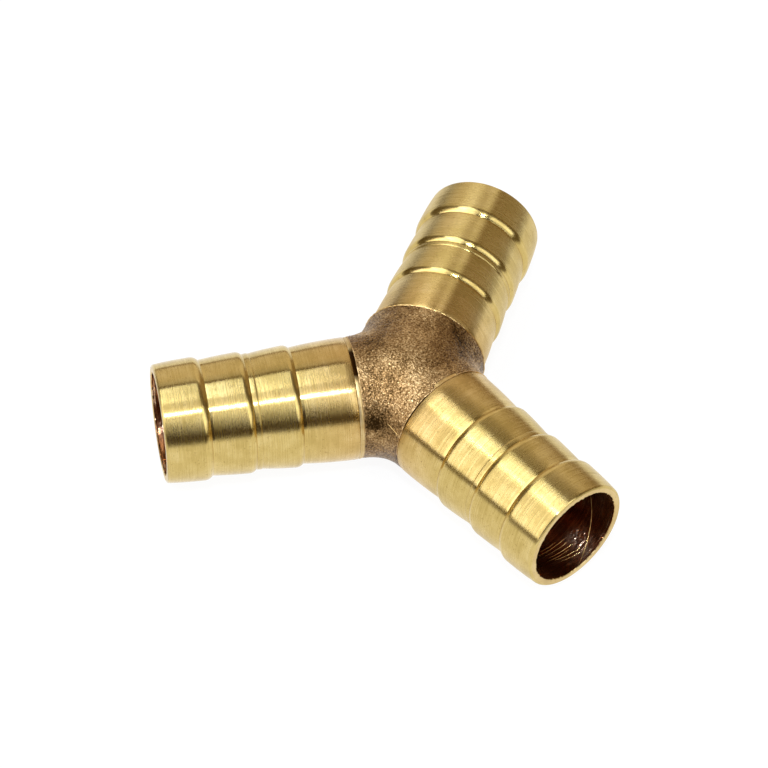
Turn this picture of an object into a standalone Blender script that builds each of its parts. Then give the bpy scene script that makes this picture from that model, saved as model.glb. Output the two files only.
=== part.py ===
"""Hose-barb wye in brass: one cast hub with three equal turned tails at 120 degrees.

Each tail has a thin spigot that sits in a socket of the hub, and a ring of brazing alloy closes
the seam between them. Metres, +Z up. The origin is where the three bores meet, the arms lie in
the plane Z = 0, and arm A points along +X.
"""

import math

import bmesh
import bpy
from mathutils import Matrix
from mathutils import Vector

# Driving dimensions
ARM_ANGLES = {"a": 0.0, "b": 120.0, "c": 240.0}  # degrees about +Z
MOUTH_DISTANCE = 0.0391  # hub centre to the open end of a tail
BORE_RADIUS = 0.0081  # water way, the same through hub and tails
VALLEY_WALL = 0.0010  # tail wall at the bottom of a barb's step
BARB_RISE = 0.0005  # crest above valley
MOUTH_WALL = 0.0012  # tail wall just behind the rounded rim
RIM_ROUND = 0.0004  # rounding of the rim's outer edge
RIM_CHAMFER = 0.0001  # inner edge of the rim
BARB_LENGTHS = (0.0073, 0.0069, 0.0073)  # valley to valley, from the mouth inwards
SHOULDER_RUN = 0.0013  # length over which a barb climbs from valley to crest
ROOT_LAND = 0.0013  # straight stretch of the tail next to the seam
EDGE_BREAK = 0.00015  # small chamfer on the turned edges at the seam
SPIGOT_WALL = 0.0007  # wall of the spigot that sits in the hub
SPIGOT_LENGTH = 0.00275
SOCKET_WALL = 0.0007  # hub wall round a socket
SOCKET_LAND = 0.00065  # hub metal between the floors of neighbouring sockets
BRAZE_THICKNESS = 0.00035  # ring of brazing alloy, along the arm
BRAZE_SET_BACK = 0.0001  # ring below the tail's root radius
FIT_GAP = 0.0003  # clearance between pieces that seat on each other
CORE_OVERRUN = 0.0020  # how far each bore runs past the hub centre

# Facets
TURNED_STEPS = 40
ARC_STEPS = 3
CAGE_SIDES = 8
HUB_SUBDIVISIONS = 2
SMOOTH_BELOW = math.radians(30)

# Sizes that follow
HALF_SPREAD = math.radians(60)  # half the angle between neighbouring arms
VALLEY_RADIUS = BORE_RADIUS + VALLEY_WALL
CREST_RADIUS = VALLEY_RADIUS + BARB_RISE
MOUTH_RADIUS = BORE_RADIUS + MOUTH_WALL
SPIGOT_RADIUS = BORE_RADIUS + SPIGOT_WALL
SOCKET_RADIUS = SPIGOT_RADIUS + FIT_GAP
NECK_RADIUS = SOCKET_RADIUS + SOCKET_WALL
SOCKET_FLOOR = SOCKET_RADIUS / math.tan(HALF_SPREAD) + SOCKET_LAND
SPIGOT_END = SOCKET_FLOOR + FIT_GAP
TAIL_SHOULDER = SPIGOT_END + SPIGOT_LENGTH
BRAZE_OUTER_FACE = TAIL_SHOULDER - FIT_GAP
BRAZE_INNER_FACE = BRAZE_OUTER_FACE - BRAZE_THICKNESS
HUB_FACE = BRAZE_INNER_FACE - FIT_GAP


def clear_scene():
    for old in list(bpy.data.objects):
        bpy.data.objects.remove(old, do_unlink=True)


def new_collection(name):
    collection = bpy.data.collections.new(name)
    bpy.context.scene.collection.children.link(collection)
    return collection


def metal(name, colour, roughness):
    material = bpy.data.materials.new(name)
    material.use_nodes = True
    shader = material.node_tree.nodes["Principled BSDF"]
    shader.inputs["Base Color"].default_value = (*colour, 1.0)
    shader.inputs["Metallic"].default_value = 1.0
    shader.inputs["Roughness"].default_value = roughness
    return material


def turned_mesh(name, outline, closed):
    """Mesh turned about Z from an outline of (radius, height) that runs down its outer side."""
    profile = bmesh.new()
    points = [profile.verts.new((radius, 0.0, height)) for radius, height in outline]
    for start, end in zip(points, points[1:]):
        profile.edges.new((start, end))
    if closed:
        profile.edges.new((points[-1], points[0]))
    mesh = bpy.data.meshes.new(name + "_outline")
    profile.to_mesh(mesh)
    profile.free()
    blank = bpy.data.objects.new(name + "_outline", mesh)
    bpy.context.scene.collection.objects.link(blank)
    screw = blank.modifiers.new("Turn", "SCREW")
    screw.axis = "Z"
    screw.angle = math.tau
    screw.steps = TURNED_STEPS
    screw.render_steps = TURNED_STEPS
    screw.use_merge_vertices = True
    screw.merge_threshold = 0.00001
    return settled_mesh(name, blank)


def settled_mesh(name, blank):
    """The mesh of an object with its modifiers applied, shaded smooth. The object is removed."""
    bpy.context.view_layer.update()
    evaluated = blank.evaluated_get(bpy.context.evaluated_depsgraph_get())
    mesh = bpy.data.meshes.new_from_object(evaluated)
    mesh.name = name
    bpy.data.objects.remove(blank, do_unlink=True)
    mesh.shade_smooth()
    mesh.set_sharp_from_angle(angle=SMOOTH_BELOW)
    return mesh


def quarter_round(centre_radius, centre_height, across, along):
    """Quarter ellipse from its outermost height to its outermost radius, ends included."""
    points = []
    for step in range(ARC_STEPS + 1):
        turn = math.pi / 2 * step / ARC_STEPS
        points.append((centre_radius + across * math.sin(turn), centre_height + along * math.cos(turn)))
    return points


def tail_outline():
    """Closed section of a tail: rim, three barbs, root, spigot, and back along the bore."""
    outline = [(BORE_RADIUS + RIM_CHAMFER, MOUTH_DISTANCE)]
    rim_centre = MOUTH_DISTANCE - RIM_ROUND
    outline += quarter_round(MOUTH_RADIUS - RIM_ROUND, rim_centre, RIM_ROUND, RIM_ROUND)
    valley = MOUTH_DISTANCE
    for length in BARB_LENGTHS:
        valley -= length
        shoulder = quarter_round(VALLEY_RADIUS, valley, BARB_RISE, SHOULDER_RUN)
        # The crest is the round's outermost radius and lies a run outwards of the valley.
        outline += [(radius, 2 * valley + SHOULDER_RUN - height) for radius, height in reversed(shoulder)]
    outline.append((CREST_RADIUS, TAIL_SHOULDER + ROOT_LAND))
    outline.append((CREST_RADIUS, TAIL_SHOULDER + EDGE_BREAK))
    outline.append((CREST_RADIUS - EDGE_BREAK, TAIL_SHOULDER))
    outline.append((SPIGOT_RADIUS, TAIL_SHOULDER))
    outline.append((SPIGOT_RADIUS, SPIGOT_END))
    outline.append((BORE_RADIUS, SPIGOT_END))
    outline.append((BORE_RADIUS, MOUTH_DISTANCE - RIM_CHAMFER))
    return outline


def braze_outline():
    """Closed section of the brazing ring, with its outer corners broken."""
    outer = CREST_RADIUS - BRAZE_SET_BACK
    flat = BRAZE_THICKNESS / 4
    return [
        (SOCKET_RADIUS, BRAZE_OUTER_FACE),
        (outer - flat, BRAZE_OUTER_FACE),
        (outer, BRAZE_OUTER_FACE - flat),
        (outer, BRAZE_INNER_FACE + flat),
        (outer - flat, BRAZE_INNER_FACE),
        (SOCKET_RADIUS, BRAZE_INNER_FACE),
    ]


def core_outline():
    """Open section of one arm's core: the bore from past the centre, then the wider socket."""
    top = HUB_FACE + SPIGOT_LENGTH
    return [
        (0.0, top),
        (SOCKET_RADIUS, top),
        (SOCKET_RADIUS, SOCKET_FLOOR),
        (BORE_RADIUS, SOCKET_FLOOR),
        (BORE_RADIUS, -CORE_OVERRUN),
        (0.0, -CORE_OVERRUN),
    ]


def hub_cage():
    """Coarse cage of the casting: three eight-sided necks that meet on the planes between arms."""
    # Subdivision pulls a ring of sides in by this share, so the cage is that much larger.
    side_turn = math.tau / CAGE_SIDES
    cage_radius = NECK_RADIUS * 3 / (2 + math.cos(side_turn))
    mid_distance = (cage_radius / math.tan(HALF_SPREAD) + HUB_FACE) / 2
    cage = bmesh.new()
    crease = cage.edges.layers.float.new("crease_edge")
    for degrees in ARM_ANGLES.values():
        turn = Matrix.Rotation(math.radians(degrees), 3, "Z")
        rings = ([], [], [])
        for side in range(CAGE_SIDES):
            across = cage_radius * math.cos(side * side_turn)
            height = cage_radius * math.sin(side * side_turn)
            junction = abs(across) / math.tan(HALF_SPREAD)
            for ring, along in zip(rings, (junction, mid_distance, HUB_FACE)):
                ring.append(cage.verts.new(turn @ Vector((along, across, height))))
        for inner, outer in zip(rings, rings[1:]):
            for side in range(CAGE_SIDES):
                after = (side + 1) % CAGE_SIDES
                cage.faces.new((inner[side], inner[after], outer[after], outer[side]))
        mouth = cage.faces.new(rings[2])
        for edge in mouth.edges:
            edge[crease] = 1.0
    bmesh.ops.remove_doubles(cage, verts=cage.verts, dist=0.00001)
    bmesh.ops.recalc_face_normals(cage, faces=cage.faces)
    mesh = bpy.data.meshes.new("hub_cage")
    cage.to_mesh(mesh)
    cage.free()
    return mesh


def place_on_arm(name, mesh, arm, material, collection):
    """Object whose turning axis lies along an arm: its +Z becomes the arm's outward direction."""
    piece = bpy.data.objects.new(name, mesh)
    collection.objects.link(piece)
    piece.parent = arm
    piece.rotation_euler = (0.0, math.radians(90), 0.0)
    if material is None:
        piece.hide_render = True
        piece.display_type = "WIRE"
    elif not mesh.materials:
        mesh.materials.append(material)
    return piece


clear_scene()
fitting = new_collection("hose_barb_wye")
cutters = new_collection("cutters")

cast_brass = metal("cast_brass", (0.19, 0.115, 0.05), 0.6)
turned_brass = metal("turned_brass", (0.62, 0.45, 0.17), 0.25)
braze_alloy = metal("braze_alloy", (0.75, 0.50, 0.18), 0.35)

tail_mesh = turned_mesh("barbed_tail", tail_outline(), closed=True)
braze_mesh = turned_mesh("braze_ring", braze_outline(), closed=True)
core_mesh = turned_mesh("arm_core", core_outline(), closed=False)

centre = bpy.data.objects.new("wye_centre", None)
fitting.objects.link(centre)

hub_blank = bpy.data.objects.new("hub_blank", hub_cage())
bpy.context.scene.collection.objects.link(hub_blank)
rounding = hub_blank.modifiers.new("Cast form", "SUBSURF")
rounding.levels = HUB_SUBDIVISIONS
rounding.render_levels = HUB_SUBDIVISIONS

for letter, degrees in ARM_ANGLES.items():
    arm = bpy.data.objects.new("arm_" + letter, None)
    fitting.objects.link(arm)
    arm.parent = centre
    arm.rotation_euler = (0.0, 0.0, math.radians(degrees))
    place_on_arm("barbed_tail_" + letter, tail_mesh, arm, turned_brass, fitting)
    place_on_arm("braze_ring_" + letter, braze_mesh, arm, braze_alloy, fitting)
    core = place_on_arm("core_" + letter, core_mesh, arm, None, cutters)
    cut = hub_blank.modifiers.new("Core " + letter, "BOOLEAN")
    cut.operation = "DIFFERENCE"
    cut.object = core

hub = bpy.data.objects.new("hub_casting", settled_mesh("hub_casting", hub_blank))
fitting.objects.link(hub)
hub.parent = centre
hub.data.materials.clear()
hub.data.materials.append(cast_brass)
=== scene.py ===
"""Brass hose-barb wye on a pale table: cast hub, three turned tails, three brazed seams."""
import math

import bmesh
import bpy
import numpy as np
from mathutils import Matrix, Vector, noise


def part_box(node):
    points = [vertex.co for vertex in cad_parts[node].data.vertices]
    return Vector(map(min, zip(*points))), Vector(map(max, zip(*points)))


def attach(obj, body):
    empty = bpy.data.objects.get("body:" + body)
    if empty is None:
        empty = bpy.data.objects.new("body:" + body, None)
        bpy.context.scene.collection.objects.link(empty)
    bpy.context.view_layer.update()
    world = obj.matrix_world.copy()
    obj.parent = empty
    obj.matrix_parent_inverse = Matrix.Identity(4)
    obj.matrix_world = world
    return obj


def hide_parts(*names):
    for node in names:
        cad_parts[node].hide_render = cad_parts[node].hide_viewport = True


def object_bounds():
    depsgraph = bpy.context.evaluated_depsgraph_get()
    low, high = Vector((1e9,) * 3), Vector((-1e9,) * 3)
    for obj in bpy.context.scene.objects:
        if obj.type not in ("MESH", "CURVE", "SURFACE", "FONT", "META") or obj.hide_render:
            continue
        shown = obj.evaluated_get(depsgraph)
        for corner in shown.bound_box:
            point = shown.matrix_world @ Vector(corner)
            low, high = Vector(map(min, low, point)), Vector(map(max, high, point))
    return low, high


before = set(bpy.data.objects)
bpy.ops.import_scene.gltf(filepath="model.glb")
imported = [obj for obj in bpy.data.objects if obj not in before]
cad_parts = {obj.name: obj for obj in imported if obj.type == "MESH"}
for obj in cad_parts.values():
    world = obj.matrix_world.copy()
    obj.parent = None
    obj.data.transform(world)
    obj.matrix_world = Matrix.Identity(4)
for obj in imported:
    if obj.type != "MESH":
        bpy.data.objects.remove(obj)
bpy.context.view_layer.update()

MM = 0.001
ARM_ANGLES = {"a": 0.0, "b": 120.0, "c": 240.0}


# ---------------------------------------------------------------------------------------------
# Hub: sand-cast yellow brass. Three necks run into one saddle-shaped middle, with the sand's
# grain all over, a thin flash where the mould halves met, and bores that meet at the centre.
# ---------------------------------------------------------------------------------------------
RING_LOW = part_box("braze_ring_a")[0].x
RING_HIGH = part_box("braze_ring_a")[1].x
SHOULDER = RING_HIGH + 0.28 * MM  # where each tail reaches its full diameter
NECK_RADIUS = {"a": 9.45 * MM, "b": 9.55 * MM, "c": 9.95 * MM}
LIP_RADIUS = 9.40 * MM  # inside of the thin lip that hides the braze on necks b and c
SEAM_GAP = 0.12 * MM
# Where a seam stayed open, as middle and half width in degrees about each arm
OPEN_SEAM = {"a": ((84, 17),), "b": ((131, 20), (60, 8)), "c": ((235, 12),)}
SKIM = {"b": (87.5, 13.0)}  # where the tail's last cut touched the neck and left bare metal
SKIM_WIDE = 0.62 * MM
BORE_RADIUS = 8.1 * MM
SOCKET_RADIUS = 9.1 * MM
SOCKET_FLOOR = 5.9 * MM
CROTCH_BLEND = 0.75 * MM
HALF_SPREAD = math.radians(60)
HUB_AROUND = 384
HUB_ALONG = 76
SEAT_CLEAR = 0.02 * MM  # between the neck's end and the braze ring
LIP_CLEAR = 0.015 * MM  # between the lip of necks b and c and the tail's shoulder
LIP_THICK = 0.12 * MM
SURFACE_NEAR = 4.0 * MM  # the hub's outside lies between these distances from an arm's axis
SURFACE_FAR = 16.0 * MM
HALVINGS = 40
WELD = 0.002 * MM
SHARP_FROM = math.radians(40)
# The cast skin, all in millimetres: how high each kind of unevenness is and how long. The grain
# is set as it shows on the casting.
SWELL_HIGH, SWELL_LONG = 0.10, 4.5
LUMP_HIGH, LUMP_LONG = 0.05, 1.3
GRAIN_HIGH, GRAIN_MM = 0.12, 0.36
FINE_HIGH = 0.05
LOWER_GRAIN = 0.25  # share of the grain that is left below the parting
PARTING_MM = 1.8  # height of the mould's parting line above the bores' plane
PARTING_STEP = 0.10
PARTING_SOFT = 0.12
FLASH_RISE, FLASH_X, FLASH_Y, FLASH_REACH = 1.9, 4.2, 10.4, 2.0
SKIM_HIGH = 0.02
BURR_HIGH = 0.09
# The skin's tone: 0 is plain, above it is rubbed metal and below it is brown
LOWER_DARK = 0.13
EDGE_RUB = 0.30
# Painted shade and painted highlight patches on the skin: x, y, z, reach in millimetres and how dark;
# below zero paints a highlight
PAINTED_LIGHT_PATCHES = (
    (6.9, 9.0, 3.7, 2.3, 0.30),
    (-8.6, -2.2, 8.0, 3.2, 0.10),
    (1.0, 9.8, 7.6, 2.0, -0.11),
    (1.9, 6.8, 8.5, 1.8, 0.05),
    (6.4, 2.9, 9.1, 2.4, 0.09),
    (-0.9, 2.5, 10.2, 3.0, -0.08),
)


def arm_axes(degrees):
    """Unit vectors along the arm, across it in the plane of the arms, and up."""
    turn = math.radians(degrees)
    along = np.array([math.cos(turn), math.sin(turn), 0.0])
    across = np.array([-math.sin(turn), math.cos(turn), 0.0])
    return along, across, np.array([0.0, 0.0, 1.0])


def neck_field(points):
    """Distance to three round necks that start at the centre, melted into each other."""
    total = 0.0
    for letter, degrees in ARM_ANGLES.items():
        along = arm_axes(degrees)[0]
        reach = np.maximum(points @ along, 0.0)[..., None]
        gap = np.linalg.norm(points - reach * along, axis=-1) - NECK_RADIUS[letter]
        total = total + np.exp(-gap / CROTCH_BLEND)
    return -CROTCH_BLEND * np.log(total)


def field_normals(points):
    """Outward directions of the melted shape."""
    step = 0.05 * MM
    slopes = [neck_field(points + step * axis) - neck_field(points - step * axis) for axis in np.eye(3)]
    slopes = np.stack(slopes, axis=-1)
    return slopes / np.linalg.norm(slopes, axis=-1, keepdims=True)


def cast_skin(point):
    """Height in millimetres and tone of the as-cast skin: hollows, lumps, sand grain and flash, and in the
    tone painted shade and highlight patches.
    """
    x, y, z = (value / MM for value in point)
    spot = Vector((x, y, z))
    slow = SWELL_HIGH * noise.noise(spot / SWELL_LONG)
    lumps = LUMP_HIGH * noise.noise(spot / LUMP_LONG)
    grain = GRAIN_HIGH * (0.45 - noise.voronoi(spot / GRAIN_MM)[0][0])
    fine = FINE_HIGH * noise.noise(spot / (0.5 * GRAIN_MM))
    # The parting rises to the flash beside arm b, and below it the mould was dressed smoother.
    rise = FLASH_RISE * math.exp(-((x - FLASH_X) ** 2 + (y - FLASH_Y) ** 2) / FLASH_REACH ** 2)
    parting = z - PARTING_MM - rise - 0.4 * noise.noise(Vector((x, y, 0)) / 2.5)
    upper = 1 / (1 + math.exp(-parting / PARTING_SOFT))
    step = PARTING_STEP * upper
    height = slow + lumps + (grain + fine) * (LOWER_GRAIN + (1 - LOWER_GRAIN) * upper) + step
    tone = 1.5 * (height - step) - LOWER_DARK * (1 - upper)
    # Painted shade and painted highlights, laid on the skin above the parting.
    for patch_x, patch_y, patch_z, reach, dark in PAINTED_LIGHT_PATCHES:
        away = ((x - patch_x) ** 2 + (y - patch_y) ** 2 + (z - patch_z) ** 2) / reach ** 2
        tone -= dark * upper * math.exp(-away)
    return height, tone


def seam_open(letter, degrees):
    """How open the seam is at an angle round the arm: 1 where the braze never reached."""
    share = 0.0
    for middle, half in OPEN_SEAM[letter]:
        away = abs((degrees - middle + 180) % 360 - 180)
        share = max(share, min(1.0, max(0.0, (half - away) / 6 + 0.5)))
    return share


def hub_rings(letter, degrees):
    """Rows of points and tones from the outer junction to the neck's end, then back inside to the
    bores, and for each strip between two rows which metal shows: 0 cast, 1 cut."""
    along, across, up = arm_axes(degrees)
    turn = np.arange(HUB_AROUND) * math.tau / HUB_AROUND
    spoke = np.cos(turn)[:, None] * across + np.sin(turn)[:, None] * up
    junction = np.abs(np.cos(turn))[:, None] / math.tan(HALF_SPREAD) * along
    gaps = np.array([SEAM_GAP * seam_open(letter, math.degrees(angle)) for angle in turn])
    ends = np.full(HUB_AROUND, RING_LOW - SEAT_CLEAR)
    if letter != "a":
        ends = SHOULDER - LIP_CLEAR - gaps
    skim_middle, skim_half = SKIM.get(letter, (0.0, 0.0))
    in_skim = np.abs((np.degrees(turn) - skim_middle + 180) % 360 - 180) < skim_half
    rows = []
    bands = []
    for row in range(HUB_ALONG + 1):
        share = row / HUB_ALONG
        start = ends[:, None] * share * along
        aim = spoke + (1 - share) * junction
        near = np.full(HUB_AROUND, SURFACE_NEAR)
        far = np.full(HUB_AROUND, SURFACE_FAR)
        for _ in range(HALVINGS):
            middle = (near + far) / 2
            inside = neck_field(start + middle[:, None] * aim) < 0
            near = np.where(inside, middle, near)
            far = np.where(inside, far, middle)
        skin = start + near[:, None] * aim
        height, tone = np.array([cast_skin(point) for point in skin]).T
        push = field_normals(skin)
        if row == HUB_ALONG:
            push = spoke
        skimmed = in_skim & (ends * share > SHOULDER - SKIM_WIDE)
        height = np.where(skimmed, SKIM_HIGH, height)
        if row > HUB_ALONG - 2:
            tone = tone + EDGE_RUB  # the neck's edge is rubbed bright
        if letter == "c" and row == HUB_ALONG:
            height = height + BURR_HIGH  # neck c keeps a burr where it was trimmed
        rows.append((skin + height[:, None] * MM * push, tone))
        band = skimmed.astype(int)
        if letter == "c" and row == HUB_ALONG - 1:
            band = np.ones(HUB_AROUND, int)
        if row < HUB_ALONG:
            bands.append(band)
    flat = np.zeros(HUB_AROUND)
    seat = RING_LOW - SEAT_CLEAR
    lip = min(LIP_RADIUS, NECK_RADIUS[letter] - LIP_THICK)
    rows.append((ends[:, None] * along + lip * spoke, flat))
    rows.append((seat * along + lip * spoke, flat))
    rows.append((seat * along + SOCKET_RADIUS * spoke, flat))
    rows.append((SOCKET_FLOOR * along + SOCKET_RADIUS * spoke, flat))
    rows.append((SOCKET_FLOOR * along + BORE_RADIUS * spoke, flat))
    rows.append((BORE_RADIUS * (spoke + junction), flat))
    bands += [np.ones(HUB_AROUND, int)] * 6
    return rows, bands


def skin_mesh(name, grids, tones, bands):
    """Mesh over grids of rows that close round on themselves, with a tone value at each point."""
    points = np.concatenate([grid.reshape(-1, 3) for grid in grids])
    faces = []
    slots = []
    start = 0
    for grid, band in zip(grids, bands):
        rows, around = grid.shape[:2]
        slots.append(np.broadcast_to(np.array(band).reshape(rows - 1, -1), (rows - 1, around)).ravel())
        for row in range(rows - 1):
            low = start + row * around
            for side in range(around):
                after = (side + 1) % around
                faces.append((low + side, low + after, low + around + after, low + around + side))
        start += rows * around
    mesh = bpy.data.meshes.new(name)
    mesh.from_pydata(points.tolist(), [], faces)
    mesh.polygons.foreach_set("material_index", np.concatenate(slots))
    mesh.attributes.new("skin_tone", "FLOAT", "POINT").data.foreach_set("value", np.concatenate(tones))
    welded = bmesh.new()
    welded.from_mesh(mesh)
    bmesh.ops.remove_doubles(welded, verts=welded.verts, dist=WELD)
    bmesh.ops.recalc_face_normals(welded, faces=welded.faces)
    welded.to_mesh(mesh)
    welded.free()
    mesh.shade_smooth()
    mesh.set_sharp_from_angle(angle=SHARP_FROM)
    return mesh


def wire_grid(centres, outwards, thicknesses):
    """Rows round a fine bead that follows a line of centres."""
    runs = np.gradient(centres, axis=0)
    rows = []
    for centre, outward, thick, run in zip(centres, outwards, thicknesses, runs):
        side = np.cross(run, outward)
        side /= np.linalg.norm(side)
        rows.append([centre + thick * (math.cos(turn) * outward + math.sin(turn) * side)
                     for turn in np.arange(8) * math.tau / 8])
    return np.array(rows)


def add_object(name, mesh, materials, degrees=None):
    """Object for a mesh. One built along Z is laid along the arm at this angle."""
    made = bpy.data.objects.new(name, mesh)
    bpy.context.scene.collection.objects.link(made)
    for material in materials:
        mesh.materials.append(material)
    if degrees is not None:
        laid = Matrix.Rotation(math.radians(90), 4, "Y")
        made.matrix_world = Matrix.Rotation(math.radians(degrees), 4, "Z") @ laid
    return made


def linear(colour):
    """Linear RGBA of an sRGB hex value."""
    parts = [int(colour[start:start + 2], 16) / 255 for start in (1, 3, 5)]
    light = [part / 12.92 if part <= 0.04045 else ((part + 0.055) / 1.055) ** 2.4 for part in parts]
    return light + [1.0]


def add(tree, kind, settings=None, stops=(), **links):
    """Adds a node: settings are properties, stops are ramp colours, links are inputs by name or number."""
    node = tree.nodes.new(kind)
    for key, value in (settings or {}).items():
        setattr(node, key, value)
    for position, colour in stops:
        node.color_ramp.elements.new(position).color = linear(colour)
    if stops:
        node.color_ramp.elements.remove(node.color_ramp.elements[0])
        node.color_ramp.elements.remove(node.color_ramp.elements[-1])
    for key, value in links.items():
        socket = node.inputs[int(key[1:])] if key[1:].isdigit() else node.inputs[key.replace("_", " ")]
        if isinstance(value, bpy.types.NodeSocket):
            tree.links.new(value, socket)
        else:
            socket.default_value = value
    return node


def new_material(name):
    """Material with an empty tree, its Principled shader wired to the output."""
    material = bpy.data.materials.new(name)
    material.use_nodes = True
    tree = material.node_tree
    tree.nodes.clear()
    shader = add(tree, "ShaderNodeBsdfPrincipled")
    add(tree, "ShaderNodeOutputMaterial", Surface=shader.outputs["BSDF"])
    return material, tree, shader


# As-cast brass: brown oxide in the hollows, rubbed metal on the grain's tops, so it glitters.
# The sizes of sand and grit were set as coarse as they need to be to show.
SAND_MM = 0.26
GRIT_MM = 0.22
GRIT_HIGH = 0.10 * MM
PATCH_MM = 3.5
PATCH_SHARE = 0.35
cast_brass, tree, shader = new_material("as_cast_brass")
place = add(tree, "ShaderNodeTexCoord").outputs["Object"]
skin_tone = add(tree, "ShaderNodeAttribute", {"attribute_name": "skin_tone"}).outputs["Fac"]
sand = add(tree, "ShaderNodeTexNoise", Vector=place, Scale=1 / (SAND_MM * MM), Detail=2.0,
           Roughness=0.6)
patches = add(tree, "ShaderNodeTexNoise", Vector=place, Scale=1 / (PATCH_MM * MM), Detail=3.0,
              Roughness=0.55)
tone = add(tree, "ShaderNodeMath", {"operation": "ADD"}, _0=skin_tone, _1=sand.outputs["Fac"])
tone = add(tree, "ShaderNodeMath", {"operation": "MULTIPLY_ADD"}, _0=patches.outputs["Fac"],
           _1=PATCH_SHARE, _2=tone.outputs[0])
tone = add(tree, "ShaderNodeMath", {"operation": "SUBTRACT"}, _0=tone.outputs[0],
           _1=PATCH_SHARE / 2)
skin_colours = [(0.22, "#38260f"), (0.48, "#957449"), (0.76, "#e0bf8a")]
colour = add(tree, "ShaderNodeValToRGB", stops=skin_colours, Fac=tone.outputs[0]).outputs["Color"]
tree.links.new(colour, shader.inputs["Base Color"])
shader.inputs["Metallic"].default_value = 1.0
rough = add(tree, "ShaderNodeMapRange", Value=sand.outputs["Fac"], From_Min=0.35, From_Max=0.65,
            To_Min=0.42, To_Max=0.28)
tree.links.new(rough.outputs["Result"], shader.inputs["Roughness"])
grit = add(tree, "ShaderNodeTexNoise", Vector=place, Scale=1 / (GRIT_MM * MM), Detail=1.0)
bump = add(tree, "ShaderNodeBump", Strength=1.0, Distance=GRIT_HIGH, Height=grit.outputs["Fac"])
tree.links.new(bump.outputs["Normal"], shader.inputs["Normal"])

# Cut brass: machined neck ends, sockets and the skimmed patch, brighter and yellower than the skin.
cut_brass, tree, shader = new_material("cut_brass")
shader.inputs["Metallic"].default_value = 1.0
shader.inputs["Roughness"].default_value = 0.38
place = add(tree, "ShaderNodeTexCoord").outputs["Object"]
blotch = add(tree, "ShaderNodeTexNoise", Vector=place, Scale=1 / (0.8 * MM), Detail=4.0)
colour = add(tree, "ShaderNodeValToRGB", stops=[(0.3, "#c6a062"), (0.7, "#e8cc8c")],
             Fac=blotch.outputs["Fac"]).outputs["Color"]
tree.links.new(colour, shader.inputs["Base Color"])

hub_grids = []
hub_tones = []
hub_bands = []
for letter, degrees in ARM_ANGLES.items():
    rows, bands = hub_rings(letter, degrees)
    hub_grids.append(np.stack([points for points, _ in rows]))
    hub_tones.append(np.concatenate([tone for _, tone in rows]))
    hub_bands.append(bands)
hub_mesh = skin_mesh("hub_cast_body", hub_grids, hub_tones, hub_bands)
hub = add_object("hub_cast_body", hub_mesh, [cast_brass, cut_brass])
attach(hub, "root")
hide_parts("hub_casting")

# Mould flash: brass squeezed out between the mould halves, a bright hair of it left where the
# parting climbs beside arm b.
FLASH_FROM = np.array((4.85, 9.70, 3.98)) * MM
FLASH_TO = np.array((3.50, 11.95, 3.28)) * MM
FLASH_STEPS = 30
FLASH_THICK = 0.06 * MM
FLASH_LIFT = 0.01 * MM
flash_share = np.linspace(0, 1, FLASH_STEPS + 1)
flash_line = FLASH_FROM + flash_share[:, None] * (FLASH_TO - FLASH_FROM)
flash_out = field_normals(flash_line)
flash_skin = np.array([cast_skin(point)[0] for point in flash_line]) * MM
flash_lift = flash_skin + FLASH_LIFT - neck_field(flash_line)
flash_thick = FLASH_THICK * (0.3 + np.sin(math.pi * flash_share) ** 0.5)
grid = wire_grid(flash_line + flash_lift[:, None] * flash_out, flash_out, flash_thick)
flash_mesh = skin_mesh("mould_flash", [grid], [np.zeros(grid.size // 3)], [[0] * FLASH_STEPS])
flash = add_object("mould_flash", flash_mesh, [cut_brass])
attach(flash, "root")


# ---------------------------------------------------------------------------------------------
# Tails: brass bar bored through and turned, with three barbs, a rounded rim and a spigot.
# The lathe leaves fine rings on the outside and coarser, chattered ones in the bore.
# ---------------------------------------------------------------------------------------------
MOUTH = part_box("barbed_tail_a")[1].x
SPIGOT_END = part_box("barbed_tail_a")[0].x
SPIGOT_RADIUS = 8.8 * MM
MOUTH_RADIUS = 9.30 * MM
LEAD_IN = 2.1 * MM
LEAD_IN_RISE = 0.17 * MM
ROOT_RADIUS = 9.62 * MM
ROOT_LAND = 1.3 * MM
ROOT_BREAK = 0.13 * MM
RIM_ROUND = 0.42 * MM
RIM_BREAK = 0.10 * MM
# Distance of the valley from the mouth, valley radius, crest radius, shoulder length
BARBS = (
    (7.26 * MM, 9.08 * MM, 9.655 * MM, 1.30 * MM),
    (14.12 * MM, 9.04 * MM, 9.51 * MM, 1.10 * MM),
    (21.47 * MM, 9.14 * MM, 9.59 * MM, 1.05 * MM),
)
SHOULDER_FALL = 2.4  # how much steeper than straight the shoulder meets its valley
FALL_STEPS = 12
SECOND_STEP = 0.80 * MM  # fine second step beside the middle barb
SECOND_STEP_RISE = 0.09 * MM
TAIL_AROUND = 288
DEEP_ROWS = 40
CHATTER_ROWS = 84
CHATTER_DEEP = 7.5 * MM  # how far the boring tool chattered in from the mouth
CHATTER_HIGH = 0.016 * MM
BORE_WAVE = 0.03 * MM
RIM_BURR = 0.34 * MM
RIM_BURR_DEEP = 0.25 * MM
# Where the tool tore the bore, with a painted lamp glint on it: degrees round the tail, then in
# millimetres its middle's distance from the mouth, its length and its height, and its half width in
# degrees
TORN_AT = {"a": 322.0, "b": 33.0, "c": 200.0}
TORN_MIDDLE, TORN_LONG, TORN_HIGH, TORN_WIDE = 3.2, 2.2, 0.13, 13
TORN_GLINT_PAINT = 0.8  # how bright the painted lamp glint is at the patch's middle


def taper(radius_from, height_from, radius_to, height_to, bulge, count):
    """Points after the first along a slightly crowned taper."""
    points = []
    for step in range(1, count + 1):
        share = step / count
        crown = bulge * (radius_to - radius_from) * math.sin(math.pi * share)
        radius = radius_from + (radius_to - radius_from) * share + crown
        points.append((radius, height_from + (height_to - height_from) * share))
    return points


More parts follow.
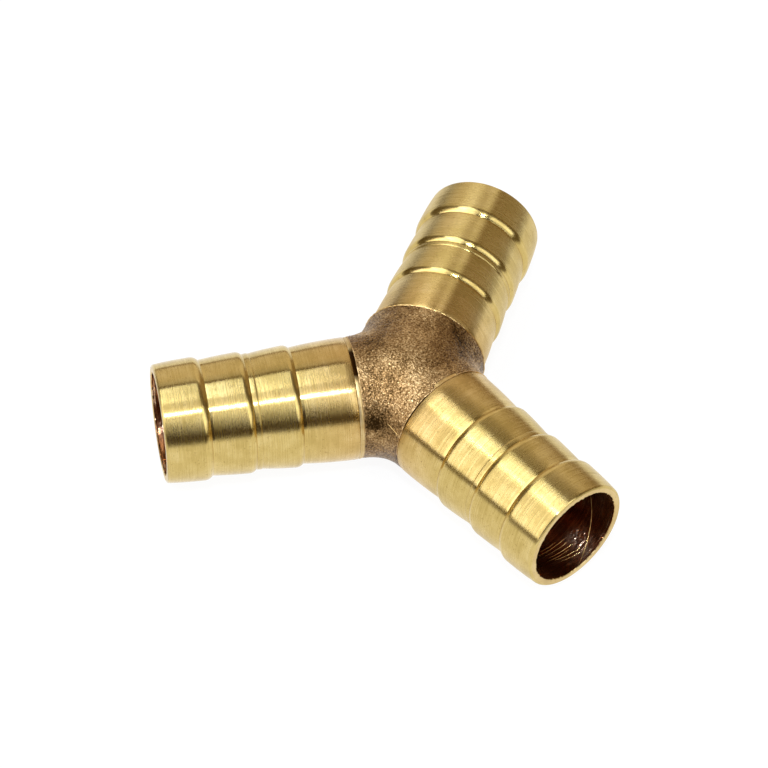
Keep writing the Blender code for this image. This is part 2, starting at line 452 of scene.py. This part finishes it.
def tail_outline():
    """Rows of (radius, height, band) from the mouth's inner edge down the outside and up the bore."""
    outside, rim, bore, shoulder = 0, 1, 2, 3
    rows = [(BORE_RADIUS, MOUTH - RIM_BREAK, rim), (BORE_RADIUS + RIM_BREAK, MOUTH, rim)]
    flat_end = MOUTH_RADIUS - RIM_ROUND
    for share in (0.33, 0.67):
        rows.append((BORE_RADIUS + RIM_BREAK + share * (flat_end - BORE_RADIUS - RIM_BREAK), MOUTH, rim))
    for step in range(9):
        turn = math.pi / 2 * step / 8
        height = MOUTH - RIM_ROUND + RIM_ROUND * math.cos(turn)
        rows.append((flat_end + RIM_ROUND * math.sin(turn), height, outside))
    radius, height = MOUTH_RADIUS + LEAD_IN_RISE, MOUTH - LEAD_IN
    lead_in = taper(MOUTH_RADIUS, MOUTH - RIM_ROUND, radius, height, bulge=0.05, count=6)
    rows += [(*point, outside) for point in lead_in]
    for number, (distance, valley_radius, crest_radius, run) in enumerate(BARBS):
        valley = MOUTH - distance
        crest = valley + run
        barb = taper(radius, height, crest_radius, crest, bulge=0.12, count=16)
        rows += [(*point, outside) for point in barb]
        for step in range(1, FALL_STEPS + 1):
            left = 1 - step / FALL_STEPS
            fall = crest_radius - (crest_radius - valley_radius) * (1 - left) ** SHOULDER_FALL
            rows.append((fall, valley + run * left, shoulder))
        radius, height = valley_radius, valley
        if number == 1:
            ledge = valley - SECOND_STEP
            rise = taper(radius, height, radius + SECOND_STEP_RISE, ledge, bulge=0.3, count=6)
            rows += [(*point, outside) for point in rise]
            height = ledge - 1.4 * SECOND_STEP_RISE
            rows.append((radius + 0.5 * SECOND_STEP_RISE, (ledge + height) / 2, outside))
            rows.append((radius, height, outside))
    root_start = SHOULDER + ROOT_LAND
    root = taper(radius, height, ROOT_RADIUS, root_start, bulge=0.18, count=16)
    rows += [(*point, outside) for point in root]
    rows.append((ROOT_RADIUS, SHOULDER + ROOT_BREAK, outside))
    rows.append((ROOT_RADIUS - 0.5 * ROOT_BREAK, SHOULDER + 0.35 * ROOT_BREAK, outside))
    rows.append((ROOT_RADIUS - 1.1 * ROOT_BREAK, SHOULDER, outside))
    rows.append((SPIGOT_RADIUS, SHOULDER, bore))
    rows.append((SPIGOT_RADIUS, SPIGOT_END, bore))
    rows.append((BORE_RADIUS, SPIGOT_END, bore))
    deep = np.linspace(SPIGOT_END, MOUTH - CHATTER_DEEP, DEEP_ROWS)[1:]
    chattered = np.linspace(MOUTH - CHATTER_DEEP, MOUTH - RIM_BREAK, CHATTER_ROWS)[1:-1]
    return rows + [(BORE_RADIUS, height, bore) for height in np.concatenate([deep, chattered])]


def tail_grid(torn, seed):
    """The outline turned about Z, with a burred rim, tool rings in the bore and one torn patch,
    the tone at each point, below zero for the painted lamp glint on the torn patch, and the metal of each
    strip."""
    rows = tail_outline()
    turn = np.arange(TAIL_AROUND) * math.tau / TAIL_AROUND
    grid = np.zeros((len(rows), TAIL_AROUND, 3))
    tones = np.zeros((len(rows), TAIL_AROUND))
    for row, (radius, height, band) in enumerate(rows):
        for side, angle in enumerate(turn):
            wobble = 0.0
            if band in (1, 2) and radius < BORE_RADIUS + 0.15 * MM:
                east, north, level = math.cos(angle), math.sin(angle), height / MM + seed
                wobble = BORE_WAVE * noise.noise(Vector((east * 5, north * 5, level / 0.45)))
                if height > MOUTH - CHATTER_DEEP:
                    away = (math.degrees(angle) - torn + 180) % 360 - 180
                    past = (MOUTH - height) / MM - TORN_MIDDLE
                    rough = math.exp(-((away / TORN_WIDE) ** 2)) * math.exp(-((past / TORN_LONG) ** 2))
                    ringed = Vector((east * 2, north * 2, level / 0.16))
                    ragged = Vector((east * 16, north * 16, level / 0.36))
                    wobble += CHATTER_HIGH * noise.noise(ringed)
                    wobble += TORN_HIGH * MM * rough * noise.noise(ragged)
                    # Painted highlight: the lamp's glint on the torn patch, as a tone below zero.
                    tones[row, side] = -TORN_GLINT_PAINT * rough
                if height > MOUTH - RIM_BURR_DEEP:
                    edge = Vector((east * 20, north * 20, seed))
                    wobble -= RIM_BURR * max(0.0, noise.noise(edge))
            out = radius + wobble
            grid[row, side] = (out * math.cos(angle), out * math.sin(angle), height)
    return grid, tones, [band for _, _, band in rows]


RING_LONG_MM = 9  # how far round a tool ring runs before it changes
CLOUD_MM = 3.5
NICK_MM = 0.35
HEATED_FROM = 10 * MM  # the brazing heat's tint fades out between these distances from the centre
HEATED_TO = 19 * MM


def brushed_metal(name, tones, roughness, anisotropy, ring_mm, ring_depth_mm, warm_root="#ffffff"):
    """Turned metal: rings round the object's Z axis, glints drawn out along it."""
    material, tree, shader = new_material(name)
    place = add(tree, "ShaderNodeTexCoord").outputs["Object"]
    round_scale = 1 / (RING_LONG_MM * MM)
    stretch = add(tree, "ShaderNodeMapping", Vector=place,
                  Scale=(round_scale, round_scale, 1 / (ring_mm * MM)))
    rings = add(tree, "ShaderNodeTexNoise", Vector=stretch.outputs["Vector"], Scale=1.0, Detail=3.0,
                Roughness=0.6)
    cloud = add(tree, "ShaderNodeTexNoise", Vector=place, Scale=1 / (CLOUD_MM * MM), Detail=5.0,
                Roughness=0.65)
    mixed = add(tree, "ShaderNodeMath", {"operation": "MULTIPLY"}, _0=rings.outputs["Fac"], _1=0.5)
    mixed = add(tree, "ShaderNodeMath", {"operation": "MULTIPLY_ADD"}, _0=cloud.outputs["Fac"], _1=0.5,
                _2=mixed.outputs[0])
    colour = add(tree, "ShaderNodeValToRGB", stops=list(zip((0.38, 0.5, 0.62), tones)),
                 Fac=mixed.outputs[0]).outputs["Color"]
    # Handling marks: sparse dull nicks a third of a millimetre across.
    nicks = add(tree, "ShaderNodeTexNoise", Vector=place, Scale=1 / (NICK_MM * MM), Detail=2.0)
    nicks = add(tree, "ShaderNodeMapRange", Value=nicks.outputs["Fac"], From_Min=0.64,
                From_Max=0.72, To_Min=0.0, To_Max=0.45)
    colour = add(tree, "ShaderNodeMix", {"data_type": "RGBA", "blend_type": "MULTIPLY"},
                 _0=nicks.outputs["Result"], _6=colour, _7=linear("#a08c68")).outputs[2]
    # Heat tint on the root: the share falls from the neck outwards.
    along = add(tree, "ShaderNodeSeparateXYZ", Vector=place).outputs["Z"]
    share = add(tree, "ShaderNodeMapRange", Value=along, From_Min=HEATED_FROM, From_Max=HEATED_TO,
                To_Min=1.0, To_Max=0.0)
    colour = add(tree, "ShaderNodeMix", {"data_type": "RGBA", "blend_type": "MULTIPLY"},
                 _0=share.outputs["Result"], _6=colour, _7=linear(warm_root)).outputs[2]
    # Painted shade in the braze seam's recess, where the mesh says so.
    painted_light_tone = add(tree, "ShaderNodeAttribute", {"attribute_name": "skin_tone"}).outputs["Fac"]
    colour = add(tree, "ShaderNodeMix", {"data_type": "RGBA", "blend_type": "MULTIPLY"}, _0=painted_light_tone,
                 _6=colour, _7=linear("#3c2a18")).outputs[2]
    # Painted highlight: the lamp's glint on the torn patch in the bore, near white, marked with a tone
    # below zero.
    painted_glint = add(tree, "ShaderNodeMath", {"operation": "MULTIPLY", "use_clamp": True}, _0=painted_light_tone, _1=-1.0)
    colour = add(tree, "ShaderNodeMix", {"data_type": "RGBA"}, _0=painted_glint.outputs[0],
                 _6=colour, _7=linear("#f2d8c0")).outputs[2]
    tree.links.new(colour, shader.inputs["Base Color"])
    shader.inputs["Metallic"].default_value = 1.0
    shader.inputs["Anisotropic"].default_value = anisotropy
    shader.inputs["Anisotropic Rotation"].default_value = 0.25
    tangent = add(tree, "ShaderNodeTangent", {"direction_type": "RADIAL", "axis": "Z"})
    tree.links.new(tangent.outputs["Tangent"], shader.inputs["Tangent"])
    rough = add(tree, "ShaderNodeMapRange", Value=mixed.outputs[0], From_Min=0.35, From_Max=0.65,
                To_Min=roughness * 1.12, To_Max=roughness * 0.88)
    tree.links.new(rough.outputs["Result"], shader.inputs["Roughness"])
    bump = add(tree, "ShaderNodeBump", Strength=1.0, Distance=ring_depth_mm * MM,
               Height=rings.outputs["Fac"])
    tree.links.new(bump.outputs["Normal"], shader.inputs["Normal"])
    return material


TURNED_TONES = ("#c4aa63", "#d2b871", "#dfc785")
FACED_TONES = ("#c8ac70", "#d6b97a", "#dfc589")
BORED_TONES = ("#8a522a", "#b87a46", "#f0d6b4")
ROOT_TINT = "#fff6fa"
# Turned brass: bright yellow with hair-fine tool rings that draw a lamp's glint out along the
# tail, a shade pinker where brazing heated it. The rings are drawn at 0.15 mm, as coarse as they
# need to be to show; the real spacing wasn't measured.
turned_brass = brushed_metal("turned_brass", TURNED_TONES, roughness=0.27, anisotropy=1.0,
                             ring_mm=0.15, ring_depth_mm=0.022, warm_root=ROOT_TINT)
# Burnished brass: a form tool rubbed the fall of each barb smooth, so its glints stay sharp.
burnished_brass = brushed_metal("burnished_brass", TURNED_TONES, roughness=0.20, anisotropy=0.9,
                                ring_mm=0.15, ring_depth_mm=0.016, warm_root=ROOT_TINT)
# Faced brass: the rim, the same metal cut across, so its glints spread evenly.
faced_brass = brushed_metal("faced_brass", FACED_TONES, roughness=0.33, anisotropy=0.0,
                            ring_mm=0.3, ring_depth_mm=0.004)
# Bored brass: coarse boring marks, dark red-brown as painted shade, so the bore looks deep.
bored_brass = brushed_metal("bored_brass", BORED_TONES, roughness=0.24, anisotropy=0.6,
                            ring_mm=0.30, ring_depth_mm=0.05)

for number, (letter, degrees) in enumerate(ARM_ANGLES.items()):
    grid, tones, bands = tail_grid(TORN_AT[letter], seed=7.3 * number)
    # The last row meets the first, so the bore closes on the rim.
    grid = np.concatenate([grid, grid[:1]])
    tones = np.concatenate([tones, tones[:1]])
    name = "tail_turned_" + letter
    tail_mesh = skin_mesh(name, [grid], [tones.ravel()], [bands])
    metals = [turned_brass, faced_brass, bored_brass, burnished_brass]
    tail = add_object(name, tail_mesh, metals, degrees)
    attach(tail, "root")
    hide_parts("barbed_tail_" + letter)


# ---------------------------------------------------------------------------------------------
# Scores in bore b: the boring tool was drawn out while the tail still turned, which threw up a
# fine bright spiral of brass. A chip that went round with it left short raised lines on one side.
# ---------------------------------------------------------------------------------------------
SCORE_STEPS = 80
SCORE_PROUD = 0.018 * MM
# Degrees round the tail at each end, then distance from the mouth at each end and thickness in
# millimetres. The first is the spiral.
SCORES = (
    (81, 10, 5.20, 0.30, 0.050),
    (-17, 22, 5.45, 5.25, 0.034),
    (-12, 12, 5.95, 5.80, 0.022),
    (-10, 20, 4.85, 4.50, 0.024),
    (-8, 24, 4.20, 3.65, 0.034),
    (-14, 16, 3.75, 3.35, 0.022),
    (-6, 26, 3.35, 2.15, 0.030),
    (-2, 22, 2.60, 1.70, 0.020),
)


def score_grid(start, end, far, near, thick, seed):
    """A raised line on the bore wall, ragged along its length and fine at its ends."""
    share = np.linspace(0, 1, SCORE_STEPS + 1)
    angle = np.radians(start + (end - start) * share)
    outward = np.stack([np.cos(angle), np.sin(angle), np.zeros(SCORE_STEPS + 1)], axis=1)
    line = (BORE_RADIUS - SCORE_PROUD) * outward
    line[:, 2] = MOUTH - (far + (near - far) * share) * MM
    ragged = [1 + 0.4 * noise.noise(Vector((step / 5, seed, 0))) for step in range(SCORE_STEPS + 1)]
    swell = np.abs(np.sin(math.pi * share)) ** 0.4 * (0.8 + 0.5 * share)
    return wire_grid(line, outward, thick * MM * swell * np.array(ragged))


grids = [score_grid(*score, seed=3.1 * number) for number, score in enumerate(SCORES)]
tones = [np.zeros(grid.size // 3) for grid in grids]
score_mesh = skin_mesh("bore_scores_b", grids, tones, [[0] * SCORE_STEPS] * len(grids))
spiral = add_object("bore_scores_b", score_mesh, [faced_brass], ARM_ANGLES["b"])
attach(spiral, "root")


# ---------------------------------------------------------------------------------------------
# Braze rings: alloy that ran into the seam and was skimmed with the tail, a narrow golden band
# whose edge wanders a little.
# ---------------------------------------------------------------------------------------------
RING_RADIUS = {"a": 9.53 * MM, "b": 9.36 * MM, "c": 9.36 * MM}
RING_SUNK = 9.28 * MM  # where the alloy drew back into the seam
RING_ROWS = 8
RING_INNER = SPIGOT_RADIUS + 0.05 * MM
RING_TOP = SHOULDER - 0.005 * MM
BEAD_CROWN = 0.05 * MM
BEAD_WANDER = 0.025 * MM


def ring_grid(letter, seed):
    """Closed rows round the seam, from the tail's side over the crown on to the hub, and their painted
    shade.
    """
    turn = np.arange(TAIL_AROUND) * math.tau / TAIL_AROUND
    grid = np.zeros((RING_ROWS + 4, TAIL_AROUND, 3))
    painted_light_tone = np.zeros((RING_ROWS + 4, TAIL_AROUND))
    for side, angle in enumerate(turn):
        # The ring is built along Z and laid along its arm, which turns its angles by a quarter.
        sunk = seam_open(letter, math.degrees(angle) - 90)
        crest = RING_RADIUS[letter] + (RING_SUNK - RING_RADIUS[letter]) * sunk
        column = [(RING_INNER, RING_TOP)]
        for step in range(RING_ROWS + 1):
            share = step / RING_ROWS
            height = RING_TOP + (RING_LOW - RING_TOP) * share
            spot = Vector((math.cos(angle) * 7, math.sin(angle) * 7, height / (0.6 * MM) + seed))
            crown = BEAD_CROWN * (math.sin(math.pi * share) - share)
            column.append((crest + crown + BEAD_WANDER * noise.noise(spot), height))
            # Painted shade: dark where the seam on a stays open, and all round on b and c, under the
            # neck's lip.
            painted_light_tone[step + 1, side] = sunk if letter == "a" else 1.0
        column.append((RING_INNER, RING_LOW))
        column.append((RING_INNER, RING_TOP))
        for row, (radius, height) in enumerate(column):
            grid[row, side] = (radius * math.cos(angle), radius * math.sin(angle), height)
    return grid, painted_light_tone


# Brazing alloy: a smooth bead, paler than the turned brass, with painted shade where it drew back into the
# open seam and all round under the lips of necks b and c.
ALLOY_TONES = ("#c6a96e", "#d8bd83", "#e4cd9c")
braze_alloy = brushed_metal("braze_alloy", ALLOY_TONES, roughness=0.45, anisotropy=0.0,
                            ring_mm=0.2, ring_depth_mm=0.006)
for number, (letter, degrees) in enumerate(ARM_ANGLES.items()):
    grid, painted_light_tone = ring_grid(letter, seed=3.1 * number)
    name = "braze_seam_" + letter
    ring_mesh = skin_mesh(name, [grid], [painted_light_tone.ravel()], [[0] * (grid.shape[0] - 1)])
    ring = add_object(name, ring_mesh, [braze_alloy], degrees)
    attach(ring, "root")
    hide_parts("braze_ring_" + letter)


# ---------------------------------------------------------------------------------------------
# Studio: a back-lit white table in a dim room. Two panels overhead, one tall panel on each side,
# a weak one and a dim warm wall behind, a small lamp above the camera and a black card round it.
# ---------------------------------------------------------------------------------------------
TABLE_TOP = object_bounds()[0].z
TABLE_RADIUS = 3.0
STUDIO_REACH = 1.2
LAMP_REACH = 1.0
CARD_REACH = 1.4
CARD_WIDE = 1.5
CARD_HIGH = 1.6
LAMP_WIDE = 0.055
BACK_UP = Vector((0, 0, 1))  # a panel whose back points up lights straight down
ROOM_COLOUR = (0.14, 0.10, 0.05, 1.0)


def compass(azimuth, elevation):
    """Unit vector at an azimuth from +X towards +Y and an elevation, both in degrees."""
    turn, rise = math.radians(azimuth), math.radians(elevation)
    flat = math.cos(rise)
    return Vector((math.cos(turn) * flat, math.sin(turn) * flat, math.sin(rise)))


def panel(name, place, width, height, level, tint, back_to=None, lean=0.0):
    """Soft light panel of a brightness. It faces the object, unless its back points somewhere else."""
    light = bpy.data.lights.new(name, "AREA")
    light.shape = "RECTANGLE"
    light.size = width
    light.size_y = height
    light.color = linear(tint)[:3]
    # An area light's power is pi times its area times its brightness.
    light.energy = level * math.pi * width * height
    lamp = bpy.data.objects.new(name, light)
    bpy.context.scene.collection.objects.link(lamp)
    lamp.location = place
    lamp.rotation_mode = "QUATERNION"
    turn = (back_to or place).to_track_quat("Z", "Y")
    lamp.rotation_quaternion = turn @ Matrix.Rotation(math.radians(lean), 4, "Z").to_quaternion()
    lamp.visible_camera = False


def across(degrees):
    """Width of a panel that covers this angle at the studio's reach."""
    return 2 * STUDIO_REACH * math.tan(math.radians(degrees / 2))


panel("overhead_panel", Vector((0.335, -0.21, 1.0)), 0.57, 0.62, 3.5, "#e9f2ff", BACK_UP)
panel("overhead_fill", Vector((0.14, 0.26, 1.0)), 0.70, 0.30, 1.0, "#f0f6ff", BACK_UP)
panel("right_panel", compass(17, 37) * STUDIO_REACH, across(44), across(54), 2.6, "#f4f6ff")
panel("left_panel", compass(125, 40) * STUDIO_REACH, across(34), across(48), 2.2, "#eff5ff",
      lean=22)
panel("back_panel", compass(-95, 32) * STUDIO_REACH, across(62), across(50), 0.50, "#ffffff")
panel("far_wall", compass(-122, 25) * STUDIO_REACH, across(92), across(60), 0.20, "#ffd8a8")
panel("camera_lamp", compass(75.5, 61.5) * LAMP_REACH, LAMP_WIDE, LAMP_WIDE, 320.0, "#eef5ff")

world = bpy.data.worlds.new("dim_room")
bpy.context.scene.world = world
world.use_nodes = True
world.node_tree.nodes["Background"].inputs["Color"].default_value = ROOM_COLOUR

# Opal acrylic lit from below: near white with hardly a shadow.
opal_acrylic, tree, shader = new_material("opal_acrylic")
shader.inputs["Base Color"].default_value = linear("#57585b")
shader.inputs["Roughness"].default_value = 0.9
shader.inputs["Specular IOR Level"].default_value = 0.0
shader.inputs["Emission Color"].default_value = (1.0, 1.0, 1.0, 1.0)
shader.inputs["Emission Strength"].default_value = 0.93
table_mesh = bpy.data.meshes.new("table")
shape = bmesh.new()
bmesh.ops.create_circle(shape, cap_ends=True, radius=TABLE_RADIUS, segments=64)
shape.to_mesh(table_mesh)
shape.free()
table_object = add_object("table", table_mesh, [opal_acrylic])
table_object.location.z = TABLE_TOP

# Black card: matt paper on the camera's side that only the metal's reflections see. It darkens
# the metal between the panels' glints.
black_card, tree, shader = new_material("black_card")
shader.inputs["Base Color"].default_value = (0.03, 0.015, 0.005, 1.0)
shader.inputs["Roughness"].default_value = 1.0
card_mesh = bpy.data.meshes.new("black_card")
shape = bmesh.new()
bmesh.ops.create_grid(shape, x_segments=1, y_segments=1, size=0.5)
shape.to_mesh(card_mesh)
shape.free()
card_object = add_object("black_card", card_mesh, [black_card])
card_direction = compass(82, 30)
card_object.location = card_direction * CARD_REACH
card_object.rotation_mode = "QUATERNION"
card_object.rotation_quaternion = card_direction.to_track_quat("Z", "Y")
card_object.scale = (CARD_WIDE, CARD_HIGH, 1.0)
card_object.visible_camera = False
card_object.visible_diffuse = False
card_object.visible_shadow = False


# ---------------------------------------------------------------------------------------------
# Camera: a long lens above the table, between arms a and b, aimed near the hub. Angles are in
# degrees, the distance in metres and the lens in millimetres.
# ---------------------------------------------------------------------------------------------
CAMERA_AZIMUTH = 168.507
CAMERA_ELEVATION = 47.633
CAMERA_ROLL = 0.885
CAMERA_DISTANCE = 0.58712
CAMERA_LENS = 175.84
AIM_RIGHT = -3.440 * MM
AIM_UP = 1.038 * MM
azimuth = math.radians(CAMERA_AZIMUTH)
elevation = math.radians(CAMERA_ELEVATION)
roll = math.radians(CAMERA_ROLL)
flat = math.cos(elevation)
back = Vector((math.sin(azimuth) * flat, -math.cos(azimuth) * flat, math.sin(elevation)))
level = Vector((math.cos(azimuth), math.sin(azimuth), 0.0))
over = back.cross(level)
right = math.cos(roll) * level + math.sin(roll) * over
up = math.cos(roll) * over - math.sin(roll) * level
camera = bpy.data.cameras.new("camera")
camera.lens = CAMERA_LENS
camera_object = bpy.data.objects.new("camera", camera)
bpy.context.scene.collection.objects.link(camera_object)
basis = Matrix((right, up, back)).transposed().to_4x4()
basis.translation = back * CAMERA_DISTANCE + right * AIM_RIGHT + up * AIM_UP
camera_object.matrix_world = basis
bpy.context.scene.camera = camera_object
bpy.context.scene.view_settings.view_transform = "Standard"
